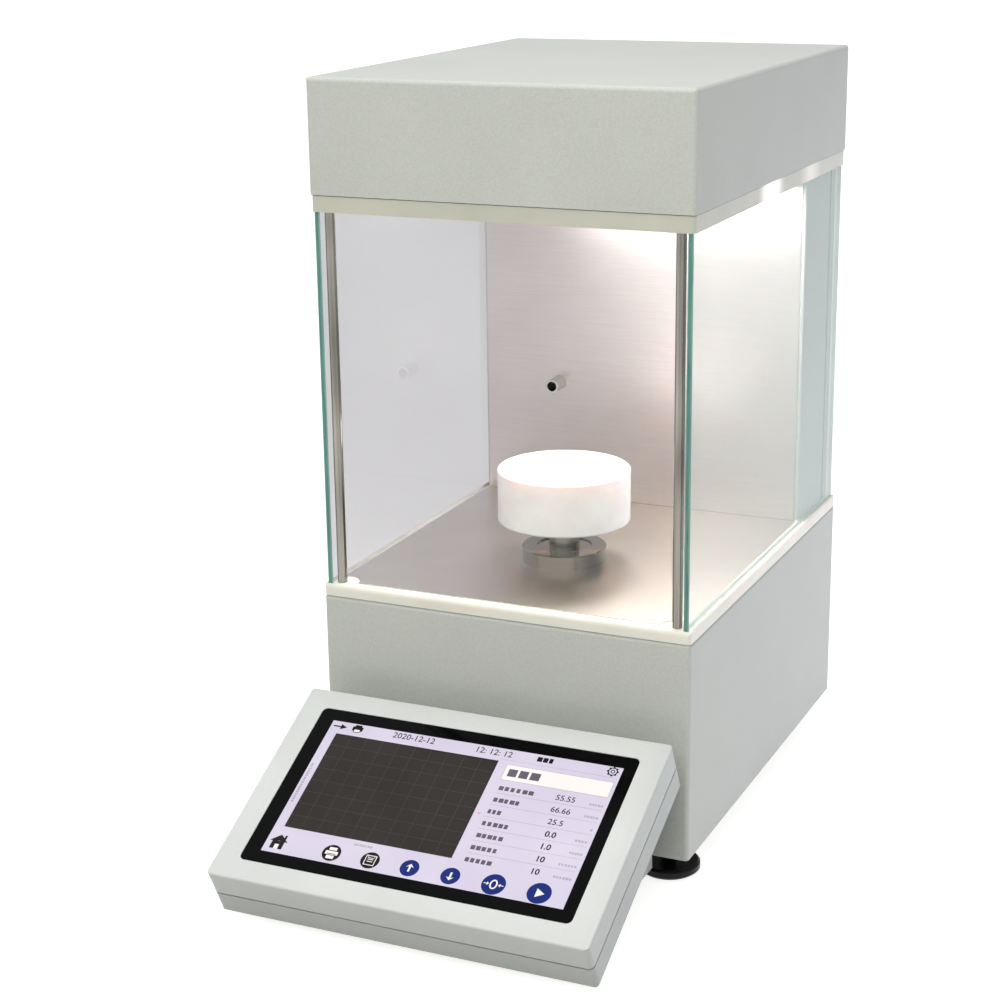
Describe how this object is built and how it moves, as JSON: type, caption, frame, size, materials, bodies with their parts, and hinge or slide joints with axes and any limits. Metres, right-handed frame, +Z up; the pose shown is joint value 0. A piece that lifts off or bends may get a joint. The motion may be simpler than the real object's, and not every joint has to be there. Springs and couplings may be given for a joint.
{
  "type": "surface tensiometer",
  "caption": "Bench tensiometer with a motor-driven stage in a glass-sided chamber, a weighing head with a hook and a tilted touch panel.",
  "frame": {"origin": "on the table, under the middle of the overall footprint", "axes": "+Z up, +X to the right as seen by the user, +Y to the rear; the touch panel faces -Y"},
  "size_m": [0.2, 0.3838, 0.393],
  "materials": {
    "housing_paint": "fine powder coat, satin",
    "chassis_paint": "fine powder coat, satin",
    "opal_acrylic": "opal acrylic, polished, lit from within",
    "brushed_sheet": "stainless sheet, brushed across",
    "bright_steel": "turned stainless, polished",
    "fastener_steel": "zinc-plated",
    "dark_steel": "burnished dark steel",
    "disc_polymer": "turned white polymer",
    "pane_glass": "clear float glass, ground edges",
    "cover_glass": "black-backed cover glass",
    "display": "display module",
    "panel_finish": "moulded, silver-grey fine-grain paint",
    "pad_rubber": "moulded black rubber",
    "foot_black": "black satin",
    "machined_aluminium": "machined",
    "bush_brass": "turned",
    "motor_black": "laminated steel, black painted",
    "circuit_board": "fibreglass board with parts",
    "led_board": "white board with lamps",
    "black_plastic": "moulded black"
  },
  "bodies": {
    "housing": {"base_housing": "housing_paint", "base_pan": "chassis_paint", "foot_nuts": "fastener_steel", "rear_feet": "pad_rubber", "rear_foot_screws": "fastener_steel", "base_plate": "opal_acrylic", "floor_sheet": "brushed_sheet", "left_pillar": "bright_steel", "right_pillar": "bright_steel", "column_shell": "housing_paint", "back_panel": "brushed_sheet", "rear_cover": "housing_paint", "cover_screws": "fastener_steel", "probe_tube": "bright_steel", "probe_nut": "bush_brass", "top_plate": "opal_acrylic", "led_strip": "led_board", "stage_flange": "bright_steel", "flange_nut": "dark_steel", "guide_rods": "bright_steel", "frame_posts": "bright_steel", "upper_plate": "machined_aluminium", "lower_plate": "machined_aluminium", "screw_bearing": "bush_brass", "lift_motor": "motor_black", "power_supply": "circuit_board", "main_board": "circuit_board", "connector_plate": "chassis_paint", "power_inlet": "black_plastic", "rocker_frame": "black_plastic", "serial_port": "bright_steel", "usb_port": "bright_steel", "head_chassis": "chassis_paint", "head_housing": "housing_paint", "cell_block": "machined_aluminium", "weigh_cell": "machined_aluminium", "hanger_arm": "machined_aluminium", "amplifier_board": "circuit_board", "panel_lower_shell": "panel_finish", "panel_upper_shell": "panel_finish", "touch_glass": "cover_glass", "display_module": "display", "panel_board": "circuit_board", "panel_bracket": "chassis_paint", "panel_screws": "fastener_steel"},
    "left_door": {"left_pane": "pane_glass"},
    "right_door": {"right_pane": "pane_glass"},
    "stage": {"stage_stem": "dark_steel", "stage_disc": "disc_polymer", "lift_carriage": "machined_aluminium", "carriage_bushes": "bush_brass", "lift_nut": "bush_brass"},
    "lead_screw": {"lift_screw": "bright_steel"},
    "left_foot": {"left_foot_pad": "pad_rubber"},
    "left_stud": {"left_foot_screw": "foot_black"},
    "right_foot": {"right_foot_pad": "pad_rubber"},
    "right_stud": {"right_foot_screw": "foot_black"},
    "rocker": {"power_rocker": "black_plastic"},
    "hook": {"weighing_hook": "bright_steel"}
  },
  "joints": [
    {"name": "left_door_slide", "type": "slide", "parent": "housing", "child": "left_door", "axis": [0, 1, 0], "range_m": [0, 0.17]},
    {"name": "right_door_slide", "type": "slide", "parent": "housing", "child": "right_door", "axis": [0, 1, 0], "range_m": [0, 0.17]},
    {"name": "stage_lift", "type": "slide", "parent": "housing", "child": "stage", "axis": [0, 0, 1], "range_m": [-0.01, 0.035]},
    {"name": "lead_screw_turn", "type": "hinge", "parent": "housing", "child": "lead_screw", "pos_m": [0, 0.04337, 0.08], "axis": [0, 0, 1], "range_deg": [-1576, 451]},
    {"name": "left_foot_travel", "type": "slide", "parent": "housing", "child": "left_foot", "axis": [0, 0, -1], "range_m": [-0.0031, 0.0061]},
    {"name": "left_foot_turn", "type": "hinge", "parent": "left_foot", "child": "left_stud", "pos_m": [-0.0833, -0.04464, 0.01], "axis": [0, 0, -1], "range_deg": [-864, 1728]},
    {"name": "right_foot_travel", "type": "slide", "parent": "housing", "child": "right_foot", "axis": [0, 0, -1], "range_m": [-0.0031, 0.0061]},
    {"name": "right_foot_turn", "type": "hinge", "parent": "right_foot", "child": "right_stud", "pos_m": [0.0833, -0.04464, 0.01], "axis": [0, 0, -1], "range_deg": [-864, 1728]},
    {"name": "power_switch", "type": "hinge", "parent": "housing", "child": "rocker", "pos_m": [0.014, 0.18587, 0.075], "axis": [1, 0, 0], "range_deg": [0, 20]},
    {"name": "hook_swing", "type": "hinge", "parent": "housing", "child": "hook", "pos_m": [0, 0.01937, 0.3551], "axis": [1, 0, 0], "range_deg": [-8, 8]}
  ],
  "couplings": [
    {"joint": "lead_screw_turn", "follows": "stage_lift", "rad_per_m": -785.4},
    {"joint": "left_foot_travel", "follows": "left_foot_turn", "m_per_rad": 0.00019894},
    {"joint": "right_foot_travel", "follows": "right_foot_turn", "m_per_rad": 0.00019894}
  ]
}
